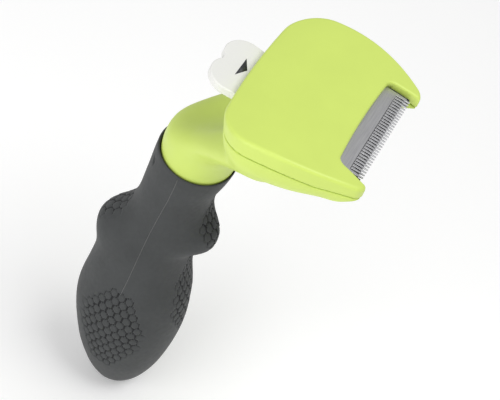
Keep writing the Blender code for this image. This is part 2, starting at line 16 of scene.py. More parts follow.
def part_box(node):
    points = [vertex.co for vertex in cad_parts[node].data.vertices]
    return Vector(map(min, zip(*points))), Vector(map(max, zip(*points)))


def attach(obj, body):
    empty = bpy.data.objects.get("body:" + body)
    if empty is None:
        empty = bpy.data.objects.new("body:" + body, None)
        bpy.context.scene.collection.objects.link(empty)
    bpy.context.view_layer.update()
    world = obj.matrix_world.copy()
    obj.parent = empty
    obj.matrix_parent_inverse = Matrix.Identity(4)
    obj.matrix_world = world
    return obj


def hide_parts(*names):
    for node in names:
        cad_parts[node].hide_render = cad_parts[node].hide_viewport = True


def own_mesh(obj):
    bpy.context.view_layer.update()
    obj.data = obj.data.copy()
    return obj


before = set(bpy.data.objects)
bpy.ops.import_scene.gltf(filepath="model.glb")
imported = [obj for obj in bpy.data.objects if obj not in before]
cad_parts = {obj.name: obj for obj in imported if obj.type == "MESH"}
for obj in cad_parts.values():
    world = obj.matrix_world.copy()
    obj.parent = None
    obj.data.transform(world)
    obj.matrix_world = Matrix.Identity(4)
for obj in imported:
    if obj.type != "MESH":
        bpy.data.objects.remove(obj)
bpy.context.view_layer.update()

GAP = 0.0003

# Handle and neck
RIM_HEIGHT = 0.123
RIM_HALF_X = 0.0146
RIM_HALF_Y = 0.0131
RIM_TILT = math.radians(4.0)
RUBBER = 0.0025
CORE_BOTTOM = 0.006
COLLAR_FLOOR = 0.1203

# The head is an arch: its top face is a cylinder whose axis runs along X.
ARCH_RADIUS = 0.0943
ARCH_Y = 0.0313
ARCH_Z = 0.0780
ARCH_BACK = math.radians(-14.85)
HEAD_LENGTH = 0.0508
HEAD_BACK_HALF = 0.0359
HEAD_FRONT_HALF = 0.0276
HEAD_WAIST = 0.0018
BACK_CORNER = 0.0125
BACK_BOW = 0.0022
HORN_CORNER = 0.0024
SEAM_DEPTH = 0.0060
HORN_SEAM_DEPTH = 0.0043
HEAD_DEPTH = 0.0162
HORN_DEPTH = 0.0058
BELLY_TURN = 0.0066
HORN_TURN = 0.0012
HORN_LEAN = 0.3
COVER_SKIN = 0.0020
WALL = 0.0022
EDGE_ROUND = 0.0013
SEAM_ROUND = 0.0003
CAVITY_LENGTH = 0.0366
NECK_BLEND = 0.0045
NECK_TOP = 0.1560
NECK_FOOT = 0.1206
DIMPLE = 0.0150
DIMPLE_HALF = 0.0086

NOTCH_HALF = 0.0232
NOTCH_Y = 0.0458
NOTCH_BOW = 0.0009
NOTCH_CORNER = 0.0024
NOTCH_ROUND = 0.0007
NOTCH_FLARE = 0.0016

# The slide: along it (a) and square to it (b)
SLIDE_TILT = math.radians(-5.5)
SLIDE_Y = 0.008
SLIDE_Z = 0.1633
BLADE_TOP = 0.0091
BLADE_THICK = 0.0009
BLADE_BACK = 0.0280
BLADE_FRONT = 0.0463
BLADE_HALF = 0.02225
TOOTH_COUNT = 31
TOOTH_LENGTH = 0.0052
BAR_FRONT = 0.0446
BAR_DEPTH = 0.0054
BAR_THICK = 0.0020
# Back end of the black strips that paint the shade beside the comb
SHADE_STRIP_BACK = 0.0379
BUTTON_HALF = 0.0130
BUTTON_FRONT_HALF = 0.0119
BUTTON_LOBE = 0.0076
BUTTON_BACK = -0.0142
BUTTON_FRONT = 0.0036
BUTTON_THICK = 0.0030
POST_FOOT = -0.0029
SLOT_BACK = -0.0100
SLOT_FRONT = 0.0200
PASSAGE_BACK = 0.0250
PASSAGE_FLOOR_BACK = 0.0352
PASSAGE_FRONT = 0.0560
BLADE_SCREW = (0.0165, 0.0310)
COVER_SCREWS = ((0.0270, 0.0170), (0.0255, 0.0305))
SCREW_SINK = 0.0040

# Radii of the bosses, bores and sinks of the cover's screws, and the height of their heads
COVER_BOSS = 0.0029
BASE_BOSS = 0.0034
SCREW_BORE = 0.0014
HEAD_SINK = 0.0024
HEAD_HEIGHT = 0.0014

# The posts that carry the comb, and the walls that the springs press on
POST_RADIUS = 0.0025
PILOT_RADIUS = 0.0012
PILOT_DEPTH = 0.0062
STOP_X = 0.0165
STOP_HALF = 0.0028
STOP_BACK = 0.0281
STOP_FRONT = 0.0300
STOP_TOP = 0.0068

# The finger stops: height of the peak, how far it stands out, its reach along the handle and around it
FRONT_STOP_HEIGHT = 0.0905
FRONT_STOP_RISE = 0.0072
FRONT_STOP_REACH = 0.0082
FRONT_STOP_TURN = 0.72
BACK_STOP_HEIGHT = 0.0770
BACK_STOP_RISE = 0.0085
BACK_STOP_REACH_UP = 0.0105
BACK_STOP_REACH_DOWN = 0.0125
BACK_STOP_TURN = 0.80

RUBBER_TOP = 0.1222
PARTING_RADIUS = 0.00013

# The two small slots at the collar's back
MARK_ANGLE = math.radians(142)
MARK_RADIUS = 0.0155
MARK_HEIGHT = 0.1172
MARK_HALF_WIDTH = 0.0007
MARK_HALF_HEIGHT = 0.0016
MARK_DEPTH = 0.0008

# The printed triangle on the button: its tip, its base and half its width, on the slide
ARROW_TIP = -0.0036
ARROW_BASE = -0.0061
ARROW_HALF = 0.0048

GRIP_FRONT = (
    (0.000, 0.0044), (0.003, 0.0080), (0.010, 0.0121), (0.022, 0.0157), (0.040, 0.0176),
    (0.056, 0.0160), (0.070, 0.0120), (0.090, 0.0104), (0.108, 0.0107), (0.118, 0.0130), (0.123, 0.0139),
)
GRIP_BACK = (
    (0.000, 0.0044), (0.003, 0.0078), (0.010, 0.0128), (0.022, 0.0187), (0.040, 0.0238),
    (0.056, 0.0226), (0.070, 0.0180), (0.090, 0.0152), (0.108, 0.0147), (0.118, 0.0146), (0.123, 0.0144),
)
GRIP_SIDE = (
    (0.000, 0.0042), (0.003, 0.0072), (0.010, 0.0116), (0.022, 0.0163), (0.040, 0.0188),
    (0.056, 0.0180), (0.070, 0.0156), (0.090, 0.0138), (0.108, 0.0142), (0.118, 0.0153), (0.123, 0.0156),
)
# Height, half width, back (negative Y), front
NECK = (
    (0.1206, 0.0144, -0.0129, 0.0129),
    (0.1230, 0.0146, -0.0131, 0.0131),
    (0.1270, 0.0147, -0.0132, 0.0132),
    (0.1320, 0.0154, -0.0124, 0.0140),
    (0.1362, 0.0169, -0.0093, 0.0160),
    (0.1400, 0.0192, -0.0051, 0.0188),
    (0.1442, 0.0226, -0.0006, 0.0228),
    (0.1484, 0.0264, 0.0038, 0.0272),
    (0.1520, 0.0298, 0.0073, 0.0310),
    (0.1560, 0.0324, 0.0108, 0.0345),
)

NET_STEP = 0.00045


# --- curves and fields ----------------------------------------------------------------------------


def curve(stations, at):
    """A smooth curve through (position, value) stations, read at an array of positions."""
    keys = np.array(stations, dtype=float)
    places = keys[:, 0]
    values = keys[:, 1]
    last = len(places) - 1
    before = np.maximum(np.arange(last + 1) - 1, 0)
    after = np.minimum(np.arange(last + 1) + 1, last)
    slopes = (values[after] - values[before]) / (places[after] - places[before])
    at = np.clip(at, places[0], places[-1])
    i = np.clip(np.searchsorted(places, at, side="right") - 1, 0, last - 1)
    span = places[i + 1] - places[i]
    t = (at - places[i]) / span
    return (
        (2 * t**3 - 3 * t**2 + 1) * values[i]
        + (t**3 - 2 * t**2 + t) * slopes[i] * span
        + (-2 * t**3 + 3 * t**2) * values[i + 1]
        + (t**3 - t**2) * slopes[i + 1] * span
    )


def ramp(at, start, end):
    t = np.clip((at - start) / (end - start), 0.0, 1.0)
    return t * t * (3 - 2 * t)


def rounded_and(a, b, radius):
    """Where two solids overlap, with a round edge. A field is a distance, negative inside."""
    inner = np.minimum(np.maximum(a, b), -radius)
    return inner + np.hypot(np.maximum(a + radius, 0), np.maximum(b + radius, 0))


def oval_and(a, b, radius_a, radius_b):
    """As rounded_and, with an elliptical edge."""
    u = np.maximum(a / radius_a + 1, 0)
    v = np.maximum(b / radius_b + 1, 0)
    length = np.maximum(np.hypot(u, v), 1e-9)
    slope = np.maximum(np.hypot(u / radius_a, v / radius_b) / length, 1e-9)
    return np.where((u > 0) & (v > 0), (length - 1) / slope, np.maximum(a, b))


def cut(a, b, radius=0.0003):
    return rounded_and(a, -b, radius)


def blended_or(a, b, reach):
    near = np.maximum(reach - np.abs(a - b), 0) / reach
    return np.minimum(a, b) - near * near * reach / 4


def rod_field(x, y, z, start, direction, radius, low, high):
    """A round rod about a line, between two distances along it."""
    offset = (x - start[0], y - start[1], z - start[2])
    along = offset[0] * direction[0] + offset[1] * direction[1] + offset[2] * direction[2]
    square = offset[0] ** 2 + offset[1] ** 2 + offset[2] ** 2 - along**2
    out = np.sqrt(np.maximum(square, 0)) - radius
    return np.maximum(out, np.maximum(low - along, along - high))


def slide_place(y, z):
    dy = y - SLIDE_Y
    dz = z - SLIDE_Z
    cos = math.cos(SLIDE_TILT)
    sin = math.sin(SLIDE_TILT)
    return dy * cos + dz * sin, dz * cos - dy * sin


def on_slide(x, a, b):
    cos = math.cos(SLIDE_TILT)
    sin = math.sin(SLIDE_TILT)
    return Vector((x, SLIDE_Y + a * cos - b * sin, SLIDE_Z + a * sin + b * cos))


def slide_box(x, y, z, middle_x, half, back, front, low, high):
    a, b = slide_place(y, z)
    across = np.abs(x - middle_x) - half
    return np.maximum(across, np.maximum(np.maximum(back - a, a - front), np.maximum(low - b, b - high)))


# --- head -----------------------------------------------------------------------------------------


def head_place(y, z):
    """Distance along the head from its back edge, and depth below its top face."""
    dy = y - ARCH_Y
    dz = z - ARCH_Z
    return (np.arctan2(dy, dz) - ARCH_BACK) * ARCH_RADIUS, ARCH_RADIUS - np.hypot(dy, dz)


def head_point(x, along, depth):
    angle = ARCH_BACK + along / ARCH_RADIUS
    radius = ARCH_RADIUS - depth
    return Vector((x, ARCH_Y + radius * math.sin(angle), ARCH_Z + radius * math.cos(angle)))


def planform(x, along):
    share = np.clip(along / HEAD_LENGTH, 0, 1)
    half = HEAD_BACK_HALF + HEAD_WAIST * np.sin(np.pi * share)
    half += (HEAD_FRONT_HALF - HEAD_BACK_HALF) * share**2.7
    side = np.abs(x) - half
    back = BACK_BOW * ((x / HEAD_BACK_HALF) ** 2 - 0.7) - along
    edge = rounded_and(side, back, BACK_CORNER)
    return rounded_and(edge, along - HEAD_LENGTH, HORN_CORNER)


def notch(x, y):
    back = NOTCH_Y - NOTCH_BOW * (1 - (x / NOTCH_HALF) ** 2)
    flare = NOTCH_FLARE * ramp(y, NOTCH_Y, 0.058)
    return rounded_and(np.abs(x) - NOTCH_HALF - flare, back - y, NOTCH_CORNER)


def seam_depth(along):
    return SEAM_DEPTH + (HORN_SEAM_DEPTH - SEAM_DEPTH) * ramp(along, 0.036, HEAD_LENGTH)


def head_depth(along):
    share = np.clip(along / HEAD_LENGTH, 0, 1.1)
    return HEAD_DEPTH + (HORN_DEPTH - HEAD_DEPTH) * share**4


def button_slot(x, y, z):
    up = BUTTON_THICK / 2 + 0.0004
    return slide_box(x, y, z, 0.0, BUTTON_HALF + 0.0005, SLOT_BACK, SLOT_FRONT, -up, up)


def passage(x, y, z, back, top):
    low = BLADE_TOP - BLADE_THICK - GAP - BAR_THICK - 2 * GAP
    return slide_box(x, y, z, 0.0, NOTCH_HALF, back, PASSAGE_FRONT, low, top)


def cover_screw_lines():
    """The bottom point, the upward direction and the place on the head of each cover screw."""
    for across, along in COVER_SCREWS:
        for sign in (-1, 1):
            low = head_point(sign * across, along, float(head_depth(along)) - SCREW_SINK)
            high = head_point(sign * across, along, 0.0)
            yield low, (high - low).normalized(), sign * across, along


def cover_field(x, y, z):
    along, depth = head_place(y, z)
    plan = planform(x, along - HORN_LEAN * depth * ramp(along, 0.040, HEAD_LENGTH))
    solid = rounded_and(plan, -depth, EDGE_ROUND)
    hollow = np.maximum(plan + WALL, np.maximum(along - CAVITY_LENGTH, COVER_SKIN - depth))
    solid = cut(solid, hollow)
    for start, up, across, place in cover_screw_lines():
        top = (head_point(across, place, COVER_SKIN - 0.0006) - start).length
        solid = np.minimum(solid, rod_field(x, y, z, start, up, COVER_BOSS, 0.0, top))
        solid = cut(solid, rod_field(x, y, z, start, up, SCREW_BORE, -0.002, top - 0.0010))
    solid = rounded_and(solid, depth - seam_depth(along) + GAP / 2, SEAM_ROUND)
    solid = cut(solid, notch(x, y), NOTCH_ROUND)
    solid = cut(solid, passage(x, y, z, PASSAGE_BACK, BLADE_TOP + GAP))
    return cut(solid, button_slot(x, y, z), 0.0004)


def neck_field(x, y, z):
    level = z + math.tan(RIM_TILT) * y * (1 - ramp(z, RIM_HEIGHT, 0.130))
    half = curve([(row[0], row[1]) for row in NECK], level)
    back = curve([(row[0], row[2]) for row in NECK], level)
    front = curve([(row[0], row[3]) for row in NECK], level)
    middle = (back + front) / 2
    deep = (front - back) / 2
    power = 2 + 0.6 * ramp(level, RIM_HEIGHT, NECK_TOP)
    dimple = DIMPLE * ramp(level, 0.131, 0.150) * np.exp(-((x / DIMPLE_HALF) ** 2))
    y_in = y - dimple * np.clip((middle - y) / deep, 0, 1)
    share = (np.abs(x / half) ** power + np.abs((y_in - middle) / deep) ** power) ** (1 / power)
    radial = np.hypot(x, y_in - middle)
    side = radial * (1 - 1 / np.maximum(share, 1e-6))
    return rounded_and(rounded_and(side, NECK_FOOT - level, 0.0004), z - NECK_TOP - 0.001, 0.001)


def base_field(x, y, z):
    along, depth = head_place(y, z)
    plan = planform(x, along - HORN_LEAN * depth * ramp(along, 0.040, HEAD_LENGTH))
    deep = head_depth(along)
    seam = seam_depth(along) + GAP / 2
    turn = (deep - seam) * 0.82
    belly_turn = BELLY_TURN - (BELLY_TURN - HORN_TURN) * ramp(along, 0.036, 0.048)
    solid = oval_and(plan, depth - deep, belly_turn, turn)
    solid = blended_or(solid, neck_field(x, y, z), NECK_BLEND)
    hollow = oval_and(plan + WALL, depth + WALL - deep, BELLY_TURN - WALL, turn - WALL)
    solid = cut(solid, np.maximum(hollow, along - CAVITY_LENGTH))
    solid = cut(solid, button_slot(x, y, z), 0.0004)
    for start, up, across, place in cover_screw_lines():
        top = (head_point(across, place, SEAM_DEPTH) - start).length
        boss = rod_field(x, y, z, start, up, BASE_BOSS, 0.0008 - SCREW_SINK, top)
        solid = np.minimum(solid, boss)
        solid = cut(solid, rod_field(x, y, z, start, up, HEAD_SINK, -0.012, HEAD_HEIGHT + GAP))
        solid = cut(solid, rod_field(x, y, z, start, up, SCREW_BORE, 0.0, top + 0.001))
    solid = rounded_and(solid, seam - depth, SEAM_ROUND)
    upward = on_slide(0, 0, 1) - on_slide(0, 0, 0)
    seat = BLADE_TOP - BLADE_THICK - GAP
    for sign in (-1, 1):
        foot = on_slide(sign * BLADE_SCREW[0], BLADE_SCREW[1], POST_FOOT)
        high = seat - POST_FOOT
        solid = np.minimum(solid, rod_field(x, y, z, foot, upward, POST_RADIUS, 0.0, high))
        solid = cut(solid, rod_field(x, y, z, foot, upward, PILOT_RADIUS, high - PILOT_DEPTH, 0.02))
        wall = slide_box(x, y, z, sign * STOP_X, STOP_HALF, STOP_BACK, STOP_FRONT, POST_FOOT, STOP_TOP)
        solid = np.minimum(solid, wall)
    solid = cut(solid, notch(x, y), NOTCH_ROUND)
    return cut(solid, passage(x, y, z, PASSAGE_FLOOR_BACK, 0.014))


# --- meshes ---------------------------------------------------------------------------------------


def net_mesh(field, low, high, step):
    """The surface where the field is 0, as a net with one point in each grid cell that it crosses."""
    counts = [int(math.ceil((high[i] - low[i]) / step)) + 1 for i in range(3)]
    axes = [low[i] + step * np.arange(counts[i]) for i in range(3)]
    values = np.empty(counts, dtype=np.float32)
    for i in range(0, counts[0], 24):
        block = np.meshgrid(axes[0][i : i + 24], axes[1], axes[2], indexing="ij")
        values[i : i + 24] = field(*block)
    inside = values < 0
    corners = [(i, j, k) for i in (0, 1) for j in (0, 1) for k in (0, 1)]

    def corner(grid, at):
        return grid[tuple(slice(at[i], counts[i] - 1 + at[i]) for i in range(3))]

    total = sum(corner(inside, at).astype(np.int8) for at in corners)
    cells = np.argwhere((total > 0) & (total < 8))
    number = np.full([c - 1 for c in counts], -1, dtype=np.int64)
    number[tuple(cells.T)] = np.arange(len(cells))
    points = np.zeros((len(cells), 3))
    crossings = np.zeros(len(cells))
    for first in corners:
        for axis in range(3):
            if first[axis]:
                continue
            second = tuple(1 if i == axis else first[i] for i in range(3))
            a = values[tuple((cells + first).T)].astype(float)
            b = values[tuple((cells + second).T)].astype(float)
            crossed = (a < 0) != (b < 0)
            share = np.where(crossed, a / np.where(crossed, a - b, 1), 0)
            place = cells + np.array(first, dtype=float)
            place[:, axis] += share
            points += place * crossed[:, None]
            crossings += crossed
    points = np.array(low) + step * points / crossings[:, None]
    points = settle(field, points, step)

    quads = []
    for axis in range(3):
        one, two = [i for i in range(3) if i != axis]
        shift = np.zeros(3, dtype=int)
        shift[axis] = 1
        end = [c - (1 if i == axis else 0) for i, c in enumerate(counts)]
        start_side = inside[: end[0], : end[1], : end[2]]
        far_side = inside[shift[0] :, shift[1] :, shift[2] :]
        edges = np.argwhere(start_side != far_side)
        edges = edges[(edges[:, one] > 0) & (edges[:, two] > 0)]
        edges = edges[(edges[:, one] < counts[one] - 1) & (edges[:, two] < counts[two] - 1)]
        step_one = np.zeros(3, dtype=int)
        step_one[one] = 1
        step_two = np.zeros(3, dtype=int)
        step_two[two] = 1
        ring = (edges - step_one - step_two, edges - step_two, edges, edges - step_one)
        quad = np.stack([number[tuple(c.T)] for c in ring], axis=1)
        solid_first = start_side[tuple(edges.T)]
        turn = solid_first if axis != 1 else ~solid_first
        quad[~turn] = quad[~turn][:, ::-1]
        quads.append(quad)
    return points, np.concatenate(quads)


def settle(field, points, step):
    """Moves points onto the surface along the field's slope."""
    small = 0.00004
    for _ in range(4):
        value = field(*points.T)
        slope = np.zeros_like(points)
        for axis in range(3):
            ahead = points.copy()
            behind = points.copy()
            ahead[:, axis] += small
            behind[:, axis] -= small
            slope[:, axis] = (field(*ahead.T) - field(*behind.T)) / (2 * small)
        square = np.maximum((slope**2).sum(axis=1), 0.05)
        move = value[:, None] * slope / square[:, None]
        length = np.maximum(np.linalg.norm(move, axis=1), 1e-12)
        points = points - move * np.minimum(1, 0.5 * step / length)[:, None]
    return points


def add_piece(name, points, faces, body, slot, *finishes):
    mesh = bpy.data.meshes.new(name)
    mesh.from_pydata([tuple(p) for p in points], [], [tuple(int(i) for i in f) for f in faces])
    mesh.validate()
    mesh.update()
    work = bmesh.new()
    work.from_mesh(mesh)
    bmesh.ops.recalc_face_normals(work, faces=work.faces)
    work.to_mesh(mesh)
    work.free()
    mesh.shade_smooth()
    for finish in finishes:
        mesh.materials.append(finish)
    piece = bpy.data.objects.new(name, mesh)
    bpy.context.scene.collection.objects.link(piece)
    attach(piece, body)
    return piece


def field_piece(name, field, node, body, slot, finish):
    """A piece meshed from its field, in the box of the CAD node that it stands for, down to the collar."""
    low, high = (np.array(corner, dtype=float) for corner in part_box(node))
    low[2] = max(low[2], NECK_FOOT - 0.003)
    margin = 2.5 * NET_STEP
    points, faces = net_mesh(field, low - margin, high + margin, NET_STEP)
    return add_piece(name, points, faces, body, slot, finish)


def outline_mesh(outline, low, high):
    """An outline on the slide's plane, raised from low to high."""
    count = len(outline)
    points = [on_slide(x, a, low) for x, a in outline] + [on_slide(x, a, high) for x, a in outline]
    faces = [tuple(range(count)), tuple(range(2 * count - 1, count - 1, -1))]
    faces += [(i, (i + 1) % count, count + (i + 1) % count, count + i) for i in range(count)]
    return points, faces


def bevelled(piece, width, segments=3, limit=35):
    bevel = piece.modifiers.new("edges", "BEVEL")
    bevel.width = width
    bevel.segments = segments
    bevel.limit_method = "ANGLE"
    bevel.angle_limit = math.radians(limit)
    bevel.harden_normals = True
    piece.data.set_sharp_from_angle(angle=math.radians(limit))
    return piece


# --- grip -----------------------------------------------------------------------------------------

CELL_PITCH = 0.0035
# Middle angle (degrees from forward), middle height, turning radius, half width, half height, and how
# fast the half height shrinks towards the sides
CELL_FIELDS = (
    (100.5, 0.0402, 0.0190, 0.0125, 0.0195, 1.43),
    (-100.5, 0.0402, 0.0190, 0.0125, 0.0195, 1.43),
    (0.0, 0.0600, 0.0150, 0.0080, 0.0200, 2.2),
    (0.0, 0.0965, 0.0170, 0.0080, 0.0095, 0.7),
    (180.0, 0.0850, 0.0190, 0.0085, 0.0075, 0.5),
)


def finger_bump(height, angle):
    """How far the two finger stops stand out; the front one ends more steeply below than above."""
    above = (height - FRONT_STOP_HEIGHT) / FRONT_STOP_REACH
    front = FRONT_STOP_RISE * np.exp(-np.where(above > 0, above**2, above**4))
    reach = np.where(height > BACK_STOP_HEIGHT, BACK_STOP_REACH_UP, BACK_STOP_REACH_DOWN)
    back = BACK_STOP_RISE * np.exp(-(((height - BACK_STOP_HEIGHT) / reach) ** 2))
    ahead = np.exp(-((angle / FRONT_STOP_TURN) ** 2))
    behind = np.exp(-(((np.pi - np.abs(angle)) / BACK_STOP_TURN) ** 2))
    return front * ahead + back * behind


def grip_points(height, angle, inset=0.0):
    side = curve(GRIP_SIDE, height)
    across = np.sin(angle)
    along = np.cos(angle)
    deep = np.where(along >= 0, curve(GRIP_FRONT, height), curve(GRIP_BACK, height))
    radius = 1 / np.sqrt((across / side) ** 2 + (along / deep) ** 2)
    radius = radius + finger_bump(height, angle) - inset
    x = radius * across
    y = radius * along
    lean = -math.tan(RIM_TILT) * y * ramp(height, 0.095, RIM_HEIGHT)
    return np.stack([x, y, height + lean], axis=-1)


def turned_from(angle, middle):
    return (angle - middle + np.pi) % (2 * np.pi) - np.pi


def cell_depth(height, angle):
    """How deep the hexagon cells lie pressed into the skin: each floor leans, deepest at its upper edge."""
    depth = np.zeros(np.broadcast(height, angle).shape)
    row_height = CELL_PITCH * math.sqrt(3) / 2
    for middle, level, radius, half_width, half_height, shrink in CELL_FIELDS:
        u = turned_from(angle, math.radians(middle)) * radius
        v = height - level
        best = None
        for offset in (0, 1):
            column = np.round(u / CELL_PITCH - offset / 2) + offset / 2
            row = np.round((v / row_height - offset) / 2) * 2 + offset
            center = (column * CELL_PITCH, row * row_height)
            local = (u - center[0], v - center[1])
            reach = np.hypot(*local)
            if best is None:
                best = (reach, center, local)
                continue
            nearer = reach < best[0]
            center = tuple(np.where(nearer, new, old) for new, old in zip(center, best[1]))
            local = tuple(np.where(nearer, new, old) for new, old in zip(local, best[2]))
        width = np.abs(center[0])
        room = np.minimum(half_height, half_height - shrink * (width - half_width * 0.22))
        used = (np.abs(center[1]) <= room) & (width <= half_width)
        slanted = np.abs(local[0]) / 2 + np.abs(local[1]) * math.sqrt(3) / 2
        edge = np.maximum(np.abs(local[0]), slanted)
        border = ramp(edge, CELL_PITCH / 2 - 0.00065, CELL_PITCH / 2 - 0.0002)
        upper = np.clip(0.5 + local[1] / CELL_PITCH, 0, 1)
        lean = 0.00016 * upper * (1 - border)
        depth = np.where(used, border * (0.00022 + 0.00040 * upper) + lean, depth)
    return depth


def slot_mark_depth(height, angle):
    """The two small slots that the mould leaves at the back of the collar."""
    depth = 0
    for side in (-1, 1):
        across = turned_from(angle, side * MARK_ANGLE) * MARK_RADIUS
        inside = (across / MARK_HALF_WIDTH) ** 2 + ((height - MARK_HEIGHT) / MARK_HALF_HEIGHT) ** 2
        depth = depth + MARK_DEPTH * np.exp(-(inside**2))
    return depth


def spaced(stretches, count):
    """Points over (start, end, density) stretches, closer together where the density is higher."""
    marks = [stretches[0][0]]
    weights = [0.0]
    for start, end, density in stretches:
        marks.append(end)
        weights.append(weights[-1] + (end - start) * density)
    return np.interp(np.linspace(0, weights[-1], count), weights, marks)


def make_grip(finish, groove_shade_finish):
    """The rubber: a net of rings up the outside, over the rim and down inside, closed at both ends."""
    around, up, down = ((380, 226, 20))
    degrees = spaced(
        ((-180, -160, 1.4), (-160, -140, 0.8), (-140, -62, 2), (-62, -34, 0.8), (-34, 34, 2),
         (34, 62, 0.8), (62, 140, 2), (140, 160, 0.8), (160, 180, 1.4)),
        around + 1,
    )
    angle = np.radians(degrees[:-1])[None, :]
    heights = spaced(
        ((0, 0.004, 2), (0.004, 0.018, 1), (0.018, 0.062, 2),
         (0.062, 0.076, 1.2), (0.076, 0.106, 2), (0.106, RUBBER_TOP, 1)),
        up,
    )[:, None]
    depth = cell_depth(heights, angle) + slot_mark_depth(heights, angle)
    rows = [grip_points(heights, angle, depth)]
    lip = 0.0004
    for turn in (30, 60, 90):
        rise = lip * math.sin(math.radians(turn))
        inset = lip * (1 - math.cos(math.radians(turn)))
        rows.append(grip_points(np.array([[RUBBER_TOP + rise * 2]]), angle, inset))
    for level, spread in ((0.12296, 0.0003), (0.1224, 0.0), (0.1214, 0.0), (COLLAR_FLOOR, 0.0)):
        x = (RIM_HALF_X + GAP + spread) * np.sin(angle)
        y = (RIM_HALF_Y + GAP + spread) * np.cos(angle)
        rows.append(np.stack([x, y, level - math.tan(RIM_TILT) * y], axis=-1))
    inner = np.linspace(COLLAR_FLOOR - 0.0006, CORE_BOTTOM - GAP, down)[:, None]
    rows.append(grip_points(inner, angle, RUBBER))
    points = np.concatenate(rows)
    count = len(points)
    grid = np.arange(count * around).reshape(count, around)
    beside = np.roll(grid, -1, axis=1)
    faces = np.stack([grid[:-1], beside[:-1], beside[1:], grid[1:]], axis=-1).reshape(-1, 4)
    points = points.reshape(-1, 3)
    ends = []
    for row in (grid[0], grid[-1]):
        middle = len(points)
        points = np.vstack([points, points[row].mean(axis=0)])
        ends += [(int(row[i]), int(row[(i + 1) % around]), middle) for i in range(around)]
    faces = [*faces.tolist(), *ends]
    grip = add_piece("rubber_grip", points, faces, "body", "grip_rubber", finish, groove_shade_finish)
    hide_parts("grip_sleeve")
    # The deepest parts of the pressed-in cells get a darker rubber: painted shade in the cells' grooves.
    shaded_cells = (depth > 0.00016).ravel()
    in_shaded_cells = np.zeros(len(points), dtype=bool)
    in_shaded_cells[: len(shaded_cells)] = shaded_cells
    for polygon in grip.data.polygons:
        if all(in_shaded_cells[i] for i in polygon.vertices):
            polygon.material_index = 1
    return grip


def make_parting_line(side, finish):
    """The fine raised line that the two halves of the rubber's mould leave down each side."""
    steps = 90
    heights = np.linspace(0.0595, 0.1218, steps)
    angles = side * np.radians(92 + 11 * (1 - ramp(heights, 0.085, 0.122)))
    center = grip_points(heights, angles)
    out = grip_points(heights, angles, -0.001) - center
    out /= np.linalg.norm(out, axis=1)[:, None]
    along = np.gradient(center, axis=0)
    along /= np.linalg.norm(along, axis=1)[:, None]
    across = np.cross(out, along)
    sides = 8
    points = []
    for k in range(sides):
        turn = 2 * math.pi * k / sides
        points.append(center + PARTING_RADIUS * (math.cos(turn) * across + math.sin(turn) * out))
    points = np.stack(points, axis=1).reshape(-1, 3)
    faces = []
    for i in range(steps - 1):
        for k in range(sides):
            j = (k + 1) % sides
            faces.append((i * sides + k, i * sides + j, (i + 1) * sides + j, (i + 1) * sides + k))
    faces.append(tuple(range(sides)))
    faces.append(tuple(range(steps * sides - 1, (steps - 1) * sides - 1, -1)))
    name = "parting_line_left" if side < 0 else "parting_line_right"
    return add_piece(name, points, faces, "body", "grip_rubber", finish)


# --- blade, bar and button ------------------------------------------------------------------------


def blade_outline():
    """A plain plate with a row of ground teeth; the gaps between them end in half rounds."""
    pitch = 2 * BLADE_HALF / TOOTH_COUNT
    root = BLADE_FRONT - TOOTH_LENGTH
    gap = pitch * 0.27
    corner = 0.0006
    points = [(-BLADE_HALF + corner, BLADE_BACK), (BLADE_HALF - corner, BLADE_BACK)]
    points.append((BLADE_HALF, BLADE_BACK + corner))
    for i in range(TOOTH_COUNT):
        middle = BLADE_HALF - pitch * (i + 0.5)
        if i:
            for turn in (150, 120, 90):
                angle = math.radians(turn)
                x = middle + pitch / 2 - gap * math.cos(angle)
                points.append((x, root + gap * (1 - math.sin(angle))))
        else:
            points.append((BLADE_HALF, BLADE_FRONT - TOOTH_LENGTH * 0.3))
        tip = pitch * 0.14
        points.append((middle + pitch * 0.21, BLADE_FRONT - TOOTH_LENGTH * 0.28))
        points.append((middle + tip, BLADE_FRONT - 0.0001))
        points.append((middle, BLADE_FRONT))
        points.append((middle - tip, BLADE_FRONT - 0.0001))
        points.append((middle - pitch * 0.21, BLADE_FRONT - TOOTH_LENGTH * 0.28))
        if i < TOOTH_COUNT - 1:
            for turn in (30, 60):
                angle = math.radians(turn)
                x = middle - pitch / 2 + gap * math.cos(angle)
                points.append((x, root + gap * (1 - math.sin(angle))))
        else:
            points.append((-BLADE_HALF, BLADE_FRONT - TOOTH_LENGTH * 0.3))
    points.append((-BLADE_HALF, BLADE_BACK + corner))
    return points


def make_blade(finish):
    """The comb plate, whose teeth are ground thinner from below towards their tips."""
    points, faces = outline_mesh(blade_outline(), BLADE_TOP - BLADE_THICK, BLADE_TOP)
    up = on_slide(0, 0, 1) - on_slide(0, 0, 0)
    root = BLADE_FRONT - TOOTH_LENGTH
    half = len(points) // 2
    for i in range(half):
        a, _ = slide_place(points[i].y, points[i].z)
        share = max(0.0, (float(a) - root) / TOOTH_LENGTH)
        points[i] = points[i] + up * (BLADE_THICK * 0.55 * share)
    blade = add_piece("comb_blade", points, faces, "body", "blade_steel", finish)
    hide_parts("blade")
    return bevelled(blade, 0.00008, 2, 40)


